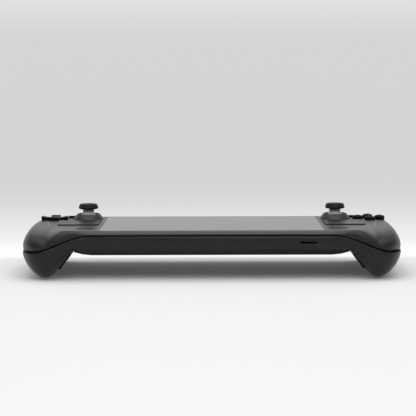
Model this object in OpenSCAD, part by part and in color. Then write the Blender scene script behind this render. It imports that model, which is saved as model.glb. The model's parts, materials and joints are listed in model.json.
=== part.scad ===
// Handheld game console: a moulded two-part housing with two grips, a glass screen,
// two tilting thumbsticks, a direction pad, round face buttons, trackpads, shoulder
// bumpers, analogue triggers, grip paddles and the boards, fan and battery inside.
// Millimetres. The origin is under the middle of the console, on the surface it lies on.
// +X is to the player's right, +Y points away from the player, +Z is up out of the screen.

/* [Body] */
// Height of the flat front face above the table
face_h = 38; // [36.8:0.1:39.8]
// Thickness of the middle of the body beside the grips
slab_t = 16; // [15.2:0.1:16.8]
// How far the middle of the back stands out below that
plateau_t = 2.5; // [1.7:0.1:3.1]
// How far the near edge of the body lies behind the grip tips
slab_setback = 4.5; // [3:0.1:6]
// Wall thickness of the housing
wall = 2.2; // [1.8:0.1:2.5]
// Thickness of the front face
plate_t = 2.6; // [2.2:0.1:2.9]
// Height of the part line under the front face, at the middle of the body
seam_depth = 3.2; // [2.9:0.1:4.8]
// How far the part line falls towards the outer side of the grips
seam_drop = 13.4; // [11:0.1:15]
// Open groove along the part line
seam_gap = 0.9; // [0.3:0.05:1.1]
// Width of one grip, from its outer side to where the back turns flat
grip_w = 44.5; // [41:0.5:49]
// Depth of the rounded far corners
corner_d = 27; // [24:0.5:30]

/* [Screen] */
// Width of the cover glass
glass_w = 173; // [154:0.5:192]
// Depth of the cover glass
glass_d = 104; // [94:0.5:116]
// Thickness of the cover glass
glass_t = 1.1; // [0.7:0.1:1.3]
// How far the near edge of the glass lies behind the near edge of the body
glass_margin = 4; // [3.6:0.1:4.6]
// How far the far edge of the glass lies in front of the top edge of the body
far_margin = 4.5; // [4:0.1:6]
// Width of the ledge that carries the glass, left and right
ledge_x = 6.5; // [6:0.1:7.5]
// Width of the ledge that carries the glass, near and far
ledge_y = 2; // [1.6:0.1:2.4]
// Thickness of the adhesive gasket under the glass
gasket_t = 0.3; // [0.2:0.05:0.5]
// Thickness of the display panel
panel_t = 2.4; // [1.8:0.1:2.6]

/* [Thumbsticks] */
// Distance from the edge of the glass out to the middle of a stick
stick_offset = 15.1; // [13.6:0.1:18]
// Distance from the top edge to the middle of a stick
stick_back = 22.5; // [20.5:0.1:25]
// Height of a stick above the front face
stick_h = 12.6; // [11.4:0.1:13.9]
// Depth of the tilting centre under the front face
pivot_depth = 5.6; // [5.2:0.1:6]
// Radius of the round skirt that turns in the housing
skirt_r = 13.6; // [13:0.1:13.8]
// Height of the skirt's top above the front face
skirt_h = 4.3; // [3.2:0.1:4.6]
// Width of the rim around the hollow in the skirt's top
rim_w = 0.6; // [0.4:0.1:1.2]
// Depth of the hollow in the skirt's top
hollow_h = 1.5; // [1:0.1:1.8]
// Diameter of the thumb cap
cap_d = 16.2; // [14:0.1:17]
// Height of the thumb cap
cap_h = 4.1; // [3.4:0.1:4.8]
// Diameter of the neck under the cap
neck_d = 8.5; // [7.5:0.1:9.2]
// Diameter of the shaft that slides in the gimbal
shaft_d = 3.6; // [3:0.1:4]
// Outer size of the square gimbal housing
gimbal_w = 15; // [14:0.1:15.4]

/* [Trackpads] */
// Side of a square trackpad
pad_w = 32; // [29.5:0.5:33]
// Distance from the edge of the glass out to a trackpad
pad_offset = 3.5; // [2.8:0.1:4]
// Distance from the skirt of the stick to a trackpad
pad_back = 2; // [1.7:0.1:4]
// Height of a trackpad above the front face
pad_h = 0.7; // [0.2:0.1:1]
// Open groove around a trackpad
pad_gap = 0.5; // [0.3:0.05:0.7]

/* [Buttons] */
// Distance from the middle of a stick out to the middle of its button group
group_offset = 27.75; // [25:0.25:31.5]
// Distance from the middle of the button groups to the outer side of the grip
group_inset = 18.7; // [18:0.1:23]
// Distance from the top edge to the middle of the button groups
group_back = 23; // [21.6:0.1:27]
// Length of the direction pad across two arms
dpad_w = 21.3; // [19.8:0.1:22.2]
// Width of one arm of the direction pad
dpad_arm = 7.4; // [6.4:0.1:8]
// Height of the arm ends above the front face
dpad_h = 2.5; // [1.8:0.1:3.2]
// Depth of the dish in the top of the direction pad
dpad_dish = 1.3; // [0.8:0.1:1.6]
// Diameter of a face button
face_d = 8.5; // [7.8:0.1:8.8]
// Distance of a face button from the middle of its group
face_pitch = 8.9; // [8.4:0.1:9.2]
// Height of a face button above the front face
face_btn_h = 2.6; // [1.6:0.1:2.9]
// Length of a menu button
pill_w = 7; // [6:0.1:7.6]
// Width of a menu button
pill_d = 3.8; // [3.2:0.1:4.2]
// Height of a menu button above the front face
pill_h = 1.5; // [0.7:0.1:1.8]
// Height of the edge buttons above the top edge
edge_h = 0.5; // [0.3:0.05:0.7]
// Gap around each button in its hole
button_gap = 0.4; // [0.3:0.05:0.5]

/* [Shoulders] */
// Length of a trigger along the top edge
trigger_w = 19.5; // [17:0.5:20.5]
// Radius of the trigger's hinge pin
trigger_pin_r = 1.2; // [1:0.05:1.4]
// Angle that a bumper can be pressed
bumper_press = 1.3; // [0.8:0.1:1.6]

/* [Ports] */
// Diameter of the headphone socket
jack_d = 3.6; // [3.5:0.05:3.7]
// Depth of the headphone socket
jack_depth = 14; // [12:0.5:15]
// Width of the opening of the USB-C socket
usb_w = 8.4; // [8.3:0.05:8.6]
// Height of the opening of the USB-C socket
usb_h = 2.6; // [2.5:0.05:2.8]
// Width of the memory card slot
card_w = 13.4; // [11.6:0.1:14]
// Height of the memory card slot
card_h = 1.4; // [0.9:0.1:1.6]

/* [Inside] */
// Thickness of the chassis plate
frame_t = 1.5; // [1:0.1:1.8]
// Thickness of the circuit boards
board_t = 1.2; // [0.8:0.1:1.4]
// Thickness of the battery
battery_t = 7.6; // [6:0.1:8]
// Width of one of the two battery cells
cell_w = 56; // [50:0.5:58]
// Outer radius of the fan wheel
fan_r = 20; // [17:0.5:21]
// Number of fan blades
fan_blades = 23; // [15:1:31]
// Radius of a housing screw
screw_r = 1.1; // [0.9:0.05:1.25]

/* [Hidden] */
SIDES = ["left", "right"];
COMPASS = ["north", "east", "south", "west"];
eps = 0.01;
clear = 0.3;
stick_x = glass_w / 2 + stick_offset;
group_x = stick_x + group_offset;
half_w = group_x + group_inset;
body_w = 2 * half_w;
body_d = slab_setback + glass_margin + glass_d + far_margin;
half_d = body_d / 2;
slab_z = face_h - slab_t;
plateau_z = slab_z - plateau_t;
seam_z = face_h - seam_depth;
plate_z = face_h - plate_t;
near_y = slab_setback - half_d;
edge_y = half_d - edge_h;
glass_y = near_y + glass_margin + glass_d / 2;
stick_y = half_d - stick_back;
pivot_z = face_h - pivot_depth;
pad_x = glass_w / 2 + pad_offset + pad_w / 2;
pad_y = stick_y - skirt_r - pad_back - pad_w / 2;
group_y = half_d - group_back;

// Interpolation helpers
function mix(a, b, t) = a + (b - a) * t;
function smooth(t) = let (u = min(max(t, 0), 1)) u * u * (3 - 2 * u);
// Quarter of a superellipse: 0 at the rim, 1 from a depth of span inwards
function round_end(e, span, power) =
    let (u = min(max(e / span, 0), 1)) pow(max(1 - pow(1 - u, power), 0), 1 / power);

// The outer skin. Each station lies at a distance e in from the outer side of a grip, and its
// section is made of four superellipse quarters between a near, far, top and bottom rail.
grip_axis = 18.5;
tip_e = 23;
corner_e = 27;
widest_near = 38;
widest_far = body_d - corner_d;
widest_z = face_h - 15.7;
crown = 1.4;
top_round = 12;
crease_e = 17.5;
shoulder_slope = 0.1;
function blend(e) = smooth((e - 20) / (grip_w - 20));
function waist_z(e) = mix(widest_z, (face_h + slab_z) / 2, blend(e));
function near_rail(e) =
    e < tip_e ? widest_near * (1 - round_end(e, tip_e, 2.2))
              : slab_setback * smooth((e - tip_e) / (grip_w - tip_e));
function far_rail(e) = mix(widest_far, body_d - edge_h, round_end(e, corner_e, 2));
function top_rail(e) =
    min(waist_z(e) + (face_h + crown - waist_z(e)) * round_end(e, top_round, 2),
        face_h + shoulder_slope * (e - crease_e));
function bottom_rail(e) =
    e < grip_axis ? waist_z(e) * (1 - round_end(e, grip_axis, 1.6)) : slab_z * blend(e);
// One quarter: from the rim point (angle 0) to the crest (angle 90)
function quarter(crest_s, rim_s, rim_z, crest_z, power, angle) =
    [crest_s + (rim_s - crest_s) * pow(cos(angle), 2 / power),
     rim_z + (crest_z - rim_z) * pow(sin(angle), 2 / power)];
// The section at e, with its rails moved in by t, as [depth, height] points
function section(e, t, steps) =
    let (b = blend(e), d = 90 / steps, z = waist_z(e),
         near = near_rail(e) + t, far = far_rail(e) - t,
         top = top_rail(e) - t, bottom = bottom_rail(e) + t,
         top_s = mix(mix(58, 82, smooth(e / 14)), 60, b), bottom_s = mix(42, 60, b))
    concat(
        [for (i = [0 : steps - 1]) quarter(top_s, far, z, top, mix(4, 7, b), i * d)],
        [for (i = [0 : steps - 1]) quarter(top_s, near, z, top, mix(2.4, 7, b), 90 - i * d)],
        [for (i = [0 : steps - 1]) quarter(bottom_s, near, z, bottom, mix(3.6, 6, b), i * d)],
        [for (i = [0 : steps - 1]) quarter(bottom_s, far, z, bottom, mix(3, 6, b), 90 - i * d)]);
// A closed skin over rings of points, each ring with the same number of points
module skin(rings) {
    n = len(rings[0]);
    last = len(rings) - 1;
    polyhedron(
        points = [for (r = rings) each r],
        faces = concat(
            [[for (j = [0 : n - 1]) j]],
            [[for (j = [n - 1 : -1 : 0]) last * n + j]],
            [for (i = [0 : last - 1], j = [0 : n - 1]) each
                let (k = (j + 1) % n, a = i * n, b = a + n)
                [[a + j, b + j, b + k], [a + j, b + k, a + k]]]),
        convexity = 6);
}
// Distances in from the outer side: close together round the end, then across the inner wall
function stations(round_steps, wall_steps) = concat(
    [for (k = [0 : round_steps]) grip_axis * (1 - cos(90 * k / round_steps))],
    [for (k = [1 : wall_steps]) mix(grip_axis, grip_w + 4, k / wall_steps)]);
// The whole outer body, or its inside when t is the wall thickness
module loft(t, steps, round_steps, wall_steps) {
    rim = 0.03;
    list = stations(round_steps, wall_steps);
    count = len(list);
    function ring(e, sign) =
        let (inside = e >= grip_axis ? e : t + e * (grip_axis - t) / grip_axis)
        [for (p = section(max(e, rim), t * round_end(e, grip_axis, 2), steps))
            [sign * (half_w - inside), p[0] - half_d, p[1]]];
    skin(concat(
        [for (i = [0 : count - 1]) ring(list[i], -1)],
        [for (i = [count - 1 : -1 : 0]) ring(list[i], 1)]));
}
module left_and_right() {
    children();
    mirror([1, 0, 0]) children();
}
module on_side(side) {
    if (side == "left") mirror([1, 0, 0]) children();
    else children();
}
// The outer body, cut flat at the front face
module body(t, steps, round_steps, wall_steps, top) {
    intersection() {
        loft(t, steps, round_steps, wall_steps);
        translate([-body_w, -body_d, -eps]) cube([2 * body_w, 2 * body_d, top + eps]);
    }
}
module outer_body() {
    body(0, 9, 7, 9, face_h);
}
// The middle of the back, raised, with sloping sides
plateau_w = body_w - 2 * grip_w - 24;
plateau_slope = 13.5;
module plateau(inset) {
    length = edge_y - near_y - 2 * inset - 0.6;
    hull() {
        translate([-plateau_w / 2 + inset, near_y + 1.1 + inset, plateau_z + inset])
            cube([plateau_w - 2 * inset, length - 1.6, eps]);
        translate([-plateau_w / 2 - plateau_slope / 2 + inset, near_y + 0.3 + inset, plateau_z + 0.8 + inset])
            cube([plateau_w + plateau_slope - 2 * inset, length, eps]);
        translate([-plateau_w / 2 - plateau_slope + inset, near_y + 0.3 + inset, slab_z + inset])
            cube([plateau_w + 2 * plateau_slope - 2 * inset, length, 5]);
    }
}
module hollow() {
    body(wall, 5, 4, 6, plate_z);
    plateau(wall);
}
// The part line: level along the middle, falling in one sweep to the outer side of each grip
seam_start = half_w - 56;
function part_z(x) = seam_z - seam_drop * smooth((abs(x) - seam_start) / 50);
module part_prism(shift, edge_z) {
    rows = [for (i = [-18 : 18]) sign(i) * mix(seam_start, half_w + 2, abs(i) / 18)];
    rotate([90, 0, 0]) translate([0, 0, -body_d]) linear_extrude(2 * body_d)
        polygon(concat([for (x = rows) [x, part_z(x) + shift]],
                       [[half_w + 2, edge_z], [-half_w - 2, edge_z]]));
}

// Small shared shapes
module rounded(w, d, r) {
    square([w - 2 * r, d], center = true);
    square([w, d - 2 * r], center = true);
    for (x = [-1, 1], y = [-1, 1])
        translate([x * (w / 2 - r), y * (d / 2 - r)]) circle(r, $fn = 20);
}
module slot(w, d) {
    hull() for (x = [-1, 1]) translate([x * (w - d) / 2, 0]) circle(d / 2, $fn = d > 2.5 ? 20 : 8);
}
module round_pill(w, d) {
    square([w - d, d], center = true);
    for (x = [-1, 1]) translate([x * (w - d) / 2, 0]) circle(d / 2, $fn = 32);
}
module post(h, r) {
    cylinder(h, r, r, $fn = 24);
}
module block(x, y, z, w, d, h) {
    translate([x - w / 2, y - d / 2, z]) cube([w, d, h]);
}
module cross(w, arm, z, h) {
    block(0, 0, z, w, arm, h);
    block(0, 0, z, arm, w, h);
}
// Children drawn in X and Z, pushed along Y from y0 to y1
module along_y(y0, y1) {
    translate([0, y1, 0]) rotate([90, 0, 0]) linear_extrude(y1 - y0) children();
}
// Children drawn in Y and Z, pushed along X from x0 to x1
module along_x(x0, x1) {
    translate([x0, 0, 0]) rotate([90, 0, 90]) linear_extrude(x1 - x0) children();
}

// Places shared by several pieces
frame_top = plate_z - 2.8;
frame_z = frame_top - frame_t;
board_z = frame_z - 4.4;
floor_z = slab_z + wall;
back_floor_z = plateau_z + wall;
screw_x = glass_w / 2 - 2.25;
screw_rows = [for (k = [0 : 3]) mix(near_y + 8.5, edge_y - 9.5, k / 3)];
boss_r = 2.7;
group_board_z = face_h - 9.5;
group_board_r = 12.8;
post_ring = 11;
post_r = 1.5;
speaker_x = glass_w / 2 + 11.6;
speaker_y = near_y + 19.5;
view_x = half_w - 32.2;
view_y = half_d - 11;
home_x = half_w - 35;
home_y = pad_y - pad_w / 2 - 9.4;
home_w = 11;
home_d = 5;
edge_z = slab_z + 6;
edge_w = 9;
edge_t = 3;
volume_x = [-screw_x - 10, -screw_x + 2];
power_x = screw_x + 8;
usb_x = screw_x - 18;
usb_z = board_z - usb_h / 2 - 0.45;
jack_x = 22 - screw_x;
jack_r = jack_d / 2 + 0.7;
jack_z = back_floor_z + jack_r + 0.5;
card_x = screw_x - 10.2;
card_z = face_h - 9.1;
fan_x = screw_x - 50;
fan_y = edge_y - 40;
fan_case_r = fan_r + 3;
fin_x0 = fan_x - 20;
fin_x1 = fan_x + 22;
fin_y = edge_y - 13.5;
fin_d = 9.5;
cell_y0 = near_y + 7;
cell_y1 = fan_y - fan_case_r - 1;
cell_x = 12 - screw_x;
board_x0 = 6 - screw_x;
board_x1 = fan_x - fan_case_r - 3;
board_y0 = cell_y1 + 3;
board_y1 = edge_y - 16;
chip_x = board_x1 - 28;
chip_y = board_y1 - 18;
ssd_x = board_x0 + 13;
ssd_y = board_y0 + 19;

// Shoulder places, for the right side
shoulder_z = floor_z - 0.1;
trigger_x1 = half_w - 13;
trigger_x0 = trigger_x1 - trigger_w;
trigger_y = half_d - 13.5;
trigger_z = shoulder_z - 1.5;
pocket_y = trigger_y - 6;
pocket_x0 = trigger_x0 - 2.7;
pocket_x1 = trigger_x1 + 2.7;
ear_t = 1.8;
bumper_x = trigger_x0 - 1.2;
bumper_y = half_d - 7;
bumper_t = 5;
bumper_e0 = 41;
bumper_e1 = 7.5;
bumper_z0 = shoulder_z + 0.6;
bumper_z1 = plate_z - 2;
// A strip along the far corner of the body, in plan
module corner_strip(e0, e1, proud, thick, growth, z0, z1) {
    list = [for (k = [0 : 16]) mix(e0, e1, k / 16)];
    inner = [for (k = [16 : -1 : 0])
        [half_w - list[k], far_rail(list[k]) - half_d - thick - growth * k / 16]];
    translate([0, 0, z0]) linear_extrude(z1 - z0)
        polygon(concat([for (e = list) [half_w - e, far_rail(e) - half_d + proud]], inner));
}
module bumper_room() {
    travel = (trigger_x1 + 6 - bumper_x) * sin(bumper_press);
    corner_strip(bumper_e0 + clear, bumper_e1 - 0.5, 3, bumper_t + clear, travel + 0.15,
                 shoulder_z, bumper_z1 + 0.4);
}
module pocket(grow, z1) {
    translate([pocket_x0 - grow, pocket_y - grow, -1])
        cube([pocket_x1 - pocket_x0 + 2 * grow, body_d, z1 + 1]);
}
// A place on the sloping inner wall of the grip, with +Z pointing out of the wall
paddle_e = (20 + grip_w) / 2;
paddle_tilt = 180 + atan(1.5 * slab_z / (grip_w - 20));
lower_paddle_y = -14;
upper_paddle_y = 17;
lower_paddle_d = 26;
upper_paddle_d = 20;
lower_paddle_w = 15;
upper_paddle_w = 12;
module on_grip_wall(y) {
    translate([half_w - paddle_e, y, bottom_rail(paddle_e)]) rotate([0, paddle_tilt, 0]) children();
}
module paddle_room(y, w, d) on_grip_wall(y) {
    translate([0, 0, -4]) linear_extrude(8) rounded(w + 0.8, d + 0.8, 4.4);
    translate([0, 0, -8]) linear_extrude(6.2) rounded(w + 2.8, d + 2.8, 4.4);
}

// Housing
module front_shell() color("dimgray") difference() {
    union() {
        difference() {
            intersection() {
                outer_body();
                part_prism(0, face_h + 9);
            }
            hollow();
        }
        left_and_right() {
            for (y = screw_rows) translate([screw_x, y, frame_top]) post(plate_z - frame_top + eps, boss_r);
            for (a = [135, 225, 315]) translate([group_x, group_y, 0]) rotate([0, 0, a])
                translate([post_ring, 0, group_board_z + board_t])
                    post(plate_z + 0.4 - group_board_z - board_t, post_r);
        }
    }
    translate([0, glass_y, face_h - glass_t - gasket_t]) linear_extrude(9)
        rounded(glass_w + 0.6, glass_d + 0.6, 4.3);
    block(0, glass_y, plate_z - 1, glass_w - 2 * ledge_x, glass_d - 2 * ledge_y, 9);
    left_and_right() {
        translate([stick_x, stick_y, pivot_z]) sphere(skirt_r + 0.35, $fn = 40);
        translate([pad_x, pad_y, plate_z - 1]) linear_extrude(9)
            rounded(pad_w + 2 * pad_gap, pad_w + 2 * pad_gap, 2);
        for (y = screw_rows) translate([screw_x, y, frame_top - 1])
            post(plate_z - frame_top + 0.6, screw_r + 0.05);
        for (k = [0 : 3]) translate([speaker_x, speaker_y + 3.4 * (k - 1.5), plate_z - 1])
            linear_extrude(9) slot(15, 1.6);
        translate([view_x, view_y, plate_z - 3]) linear_extrude(9)
            slot(pill_w + 2 * button_gap, pill_d + 2 * button_gap);
        translate([home_x, home_y, plate_z - 3]) linear_extrude(9)
            slot(home_w + 2 * button_gap, home_d + 2 * button_gap);
        translate([half_w - 44, near_y + 1.6, face_h - 3.6]) rotate([45, 0, 0])
            translate([0, 0, -3]) post(8, 0.55);
        bumper_room();
        pocket(0, shoulder_z + eps);
    }
    translate([-group_x, group_y, 0]) {
        cross(dpad_w + 2 * button_gap + 0.2, dpad_arm + 2 * button_gap + 0.2, plate_z - 3, 9);
        cross(dpad_w + dpad_flange + 1, dpad_arm + 2 * dpad_flange + 1, plate_z - 6, 6);
    }
    for (a = [0 : 90 : 270]) translate([group_x, group_y, plate_z]) rotate([0, 0, a])
        translate([face_pitch, 0, 0]) {
            translate([0, 0, -3]) cylinder(9, face_d / 2 + button_gap, face_d / 2 + button_gap, $fn = 32);
            translate([0, 0, -6]) cylinder(4.5, face_d / 2 + 1, face_d / 2 + 1, $fn = 32);
        }
}

module rear_shell() color("dimgray") difference() {
    union() {
        difference() {
            intersection() {
                union() {
                    outer_body();
                    plateau(0);
                }
                part_prism(-seam_gap, -9);
            }
            hollow();
        }
        intersection() {
            outer_body();
            part_prism(-seam_gap, -9);
            left_and_right() pocket(1.4, shoulder_z);
        }
        left_and_right() for (y = screw_rows) translate([screw_x, y, plateau_z + 0.5])
            post(frame_z - plateau_z - 0.5, boss_r + 0.4);
    }
    left_and_right() {
        pocket(0, shoulder_z + eps);
        bumper_room();
        block(stick_x, stick_y, floor_z, gimbal_w + 1.4, gimbal_w + 1.4, 9);
        for (y = screw_rows) translate([screw_x, y, 0]) {
            post(frame_z + 1, screw_r + 0.2);
            post(plateau_z + 1.9, 2 * screw_r + 0.3);
        }
        paddle_room(lower_paddle_y, lower_paddle_w, lower_paddle_d);
        paddle_room(upper_paddle_y, upper_paddle_w, upper_paddle_d);
    }
    for (k = [-4 : 4]) translate([fan_x, fan_y + 3.4 * k, plateau_z - 1]) linear_extrude(wall + 2)
        slot(2 * sqrt(256 - pow(3.4 * k, 2)), 1.7);
    for (k = [0 : 13]) along_y(edge_y - wall - 1, edge_y + 1)
        translate([mix(fin_x0 + 1.5, fin_x1 - 1.5, k / 13), board_z - 0.1]) rotate(90) slot(6.5, 1.7);
    for (x = [each volume_x, power_x]) {
        along_y(edge_y - wall - 1, edge_y + 1) translate([x, edge_z]) slot(edge_w + 0.7, edge_t + 0.7);
        along_y(edge_y - wall - 4, edge_y - wall - 0.3) translate([x, edge_z]) slot(edge_w + 2.8, edge_t + 2.8);
    }
    along_y(edge_y - wall - 1, edge_y + 1) translate([usb_x, usb_z]) slot(usb_w + 1.5, usb_h + 1.5);
    along_y(edge_y - wall - 1, edge_y + 1) translate([jack_x, jack_z]) circle(jack_r + 0.3, $fn = 24);
    along_y(near_y - 1, near_y + wall + 2) translate([card_x, card_z]) slot(card_w, card_h);
}
module rear_screws() color("silver") left_and_right() for (y = screw_rows) translate([screw_x, y, plateau_z]) {
    translate([0, 0, 0.5]) difference() {
        post(1.4, 2 * screw_r);
        translate([0, 0, -1]) cylinder(1.8, 0.8, 0.8, $fn = 6);
    }
    translate([0, 0, 1.9]) post(plate_z - 0.8 - plateau_z - 1.9, screw_r);
}

// Screen
module screen_glass() color("black") translate([0, glass_y, face_h - glass_t])
    linear_extrude(glass_t) rounded(glass_w, glass_d, 4);
module screen_gasket() color("black") translate([0, glass_y, face_h - glass_t - gasket_t])
    linear_extrude(gasket_t) difference() {
        rounded(glass_w - 1, glass_d - 1, 3.5);
        square([glass_w - 2 * ledge_x + 0.4, glass_d - 2 * ledge_y + 0.4], center = true);
    }
module display_panel() color("dimgray")
    block(0, glass_y, face_h - glass_t - panel_t, glass_w - 2 * ledge_x - 1, glass_d - 2 * ledge_y - 1, panel_t);

// Boards, cooling and battery
module mid_frame() color("silver") difference() {
    union() {
        block(0, glass_y, frame_z, glass_w - 2 * ledge_x - 1, glass_d - 5, frame_t);
        left_and_right() for (y = screw_rows) {
            translate([screw_x, y, frame_z]) post(frame_t, boss_r + 0.5);
            block(screw_x - 4, y, frame_z, 8, 2 * boss_r + 1, frame_t);
        }
        for (x = [board_x0 + 8, board_x1 - 6], y = [board_y0 + 5, board_y1 - 3])
            translate([x, y, board_z + board_t]) post(frame_z - board_z - board_t + eps, 2.2);
        translate([usb_x, edge_y - 8, board_z]) post(frame_z - board_z + eps, 2.2);
        for (x = [-4, 4]) translate([card_x + x, near_y + 12, card_z + 1])
            post(frame_z - card_z - 1 + eps, 1.2);
    }
    left_and_right() for (y = screw_rows) translate([screw_x, y, frame_z - 1])
        post(frame_t + 2, screw_r + 0.2);
}
module mainboard() color("darkgreen") {
    translate([board_x0, board_y0, board_z]) cube([board_x1 - board_x0, board_y1 - board_y0, board_t]);
    block(chip_x, chip_y, board_z - 1.2, 17, 17, 1.2 + eps);
    for (y = [-15, 15]) block(chip_x, chip_y + y, board_z - 1, 24, 6, 1 + eps);
    for (k = [-2 : 2]) block(chip_x - 16, chip_y + 6 * k, board_z - 2.2, 5, 5, 2.2 + eps);
}
module heatsink() color("peru") {
    translate([chip_x - 11, chip_y - 10, board_z - 2.4]) cube([22, fin_y + 5 - chip_y + 10, 1.2]);
    translate([chip_x - 20, fin_y + 0.5, board_z - 4.6]) cube([fin_x1 - chip_x + 20, 8, 2.2 + eps]);
    for (k = [0 : 20]) translate([mix(fin_x0, fin_x1 - 0.6, k / 20), fin_y, board_z - 2.4])
        cube([0.6, fin_d, 4.6]);
    translate([fin_x0, fin_y, board_z - 2.4 - eps]) cube([fin_x1 - fin_x0, fin_d, 0.6]);
}
fan_z = back_floor_z + 0.6;
fan_t = frame_z - 1.6 - fan_z;
module fan_housing() color("black") translate([fan_x, fan_y, fan_z]) {
    difference() {
        union() {
            post(fan_t, fan_case_r);
            translate([fin_x0 - fan_x, 0, 0]) cube([fin_x1 - fin_x0, fin_y - 0.5 - fan_y, fan_t]);
        }
        translate([0, 0, 1]) post(fan_t - 2, fan_case_r - 1.2);
        translate([fin_x0 - fan_x + 1.2, 0, 1]) cube([fin_x1 - fin_x0 - 2.4, fin_y, fan_t - 2]);
        translate([0, 0, -1]) post(3, 0.7 * fan_r);
    }
    translate([0, 0, 1.4]) post(fan_t - 2, 1.2);
    for (a = [100, 180, 260, 350]) rotate([0, 0, a]) translate([fan_case_r - 2.4, 0, fan_t - eps])
        post(frame_z - fan_z - fan_t + eps, 2);
}
module fan_rotor() color("black") translate([fan_x, fan_y, fan_z + 1.5]) {
    difference() {
        post(fan_t - 3, 0.42 * fan_r);
        translate([0, 0, -1]) post(fan_t, 1.35);
    }
    translate([0, 0, fan_t - 4]) difference() {
        post(0.8, fan_r);
        translate([0, 0, -1]) post(3, 0.4 * fan_r);
    }
    for (k = [0 : fan_blades - 1]) rotate([0, 0, 360 * k / fan_blades])
        translate([0.4 * fan_r, 0, 0]) rotate([0, 0, -22])
            translate([0, -0.35, 0]) cube([0.57 * fan_r, 0.7, fan_t - 3.4]);
}
module battery() color("dimgray") {
    for (k = [0, 1]) translate([cell_x + k * (cell_w + 2), cell_y0, frame_z - battery_t])
        cube([cell_w, cell_y1 - cell_y0, battery_t]);
    translate([cell_x + 12, cell_y1 - eps, frame_z - 3]) cube([1.4 * cell_w, 3, 3]);
}
module ssd_module() color("darkgreen") {
    block(ssd_x, ssd_y, board_z - 2.9, 22, 30, 0.8);
    block(ssd_x, ssd_y + 2, board_z - 2.1 - eps, 14, 20, 0.8);
    block(ssd_x, ssd_y - 13, board_z - 2.1 - eps, 20, 4, 2.1 + eps);
}
module card_socket() color("silver") translate([card_x, 0, 0]) difference() {
    block(0, near_y + 10, card_z - 1, 13, 14.8, 2);
    block(0, near_y + 9.2, card_z - 0.5, 11.6, 14.8, 1);
}
module usb_c_port() color("silver") {
    difference() {
        along_y(edge_y - 8, edge_y - 0.4) translate([usb_x, usb_z]) round_pill(usb_w + 0.9, usb_h + 0.9);
        along_y(edge_y - 7, edge_y + 1) translate([usb_x, usb_z]) round_pill(usb_w, usb_h);
    }
    block(usb_x, edge_y - 4.8, usb_z - 0.35, 6.7, 5, 0.7);
}
module audio_jack() color("black") difference() {
    union() {
        along_y(edge_y - jack_depth - 1.4, edge_y - 0.2) translate([jack_x, jack_z]) circle(jack_r, $fn = 48);
        block(jack_x, edge_y - 9.5, jack_z - jack_r, 2 * jack_r + 1.6, 11, 2 * jack_r);
    }
    along_y(edge_y - jack_depth - 0.2, edge_y + 1) translate([jack_x, jack_z]) circle(jack_d / 2, $fn = 48);
}
module edge_button(x) color("black") translate([x, 0, edge_z]) {
    along_y(edge_y - wall - 0.6, edge_y + edge_h) round_pill(edge_w, edge_t);
    along_y(edge_y - wall - 1.4, edge_y - wall - 0.4) round_pill(edge_w + 2, edge_t + 2);
}
module speaker(side) color("black") on_side(side) {
    block(speaker_x, speaker_y, plate_z - 6, 17, 16, 4.8);
    translate([speaker_x, speaker_y, plate_z - 1.2 - eps]) linear_extrude(1.2 + eps) difference() {
        rounded(17, 16, 1.5);
        rounded(15.6, 14.4, 1);
    }
}

// Thumbsticks, drawn about the tilting centre
pin_r = 1;
cross_pin_r = 0.8;
pin_clear = 0.05;
stick_base_z = floor_z + board_t - pivot_z;
module at_stick(side) {
    on_side(side) translate([stick_x, stick_y, pivot_z]) children();
}
module stick_base(side) color("dimgray") at_stick(side) difference() {
    union() {
        block(0, 0, stick_base_z - board_t, gimbal_w + 0.4, gimbal_w + 0.4, board_t + eps);
        intersection() {
            block(0, 0, stick_base_z, gimbal_w, gimbal_w, 2.1 - stick_base_z);
            translate([0, 0, stick_base_z]) post(2.1 - stick_base_z, 0.65 * gimbal_w);
        }
        block(gimbal_w / 2 + 1, 0, stick_base_z, 2.2, 9, 2.6);
        block(0, -gimbal_w / 2 - 1, stick_base_z, 9, 2.2, 2.6);
    }
    block(0, 0, stick_base_z + 1.2, gimbal_w - 3, gimbal_w - 3, 20);
    along_x(-20, 20) circle(pin_r + pin_clear, $fn = 32);
}
ring_out = gimbal_w / 2 - 2;
ring_in = ring_out - 1.6;
module stick_yoke(side) color("gainsboro") at_stick(side) {
    difference() {
        rotate_extrude($fn = 48) translate([ring_in, -1.5]) square([ring_out - ring_in, 3]);
        along_y(-20, 20) circle(cross_pin_r + pin_clear, $fn = 32);
    }
    for (a = [0, 180]) rotate([0, 0, a]) along_x(ring_out - 0.5, gimbal_w / 2 - 0.35) circle(pin_r, $fn = 32);
}
module stick_rocker(side) color("black") at_stick(side) difference() {
    union() {
        intersection() {
            sphere(ring_in - 0.5, $fn = 48);
            block(0, 0, -2.4, 2 * ring_in, 2 * ring_in, 4.8);
        }
        along_y(-ring_out + 0.3, ring_out - 0.3) circle(cross_pin_r, $fn = 32);
    }
    translate([0, 0, -5]) post(10, shaft_d / 2 + pin_clear);
}
skirt_t = 1.2;
skirt_top = pivot_depth + skirt_h;
hollow_z = skirt_top - hollow_h;
cap_z = pivot_depth + stick_h - cap_h;
flare = 2.6;
hollow_r = sqrt(pow(skirt_r, 2) - pow(skirt_top, 2)) - rim_w;
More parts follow.
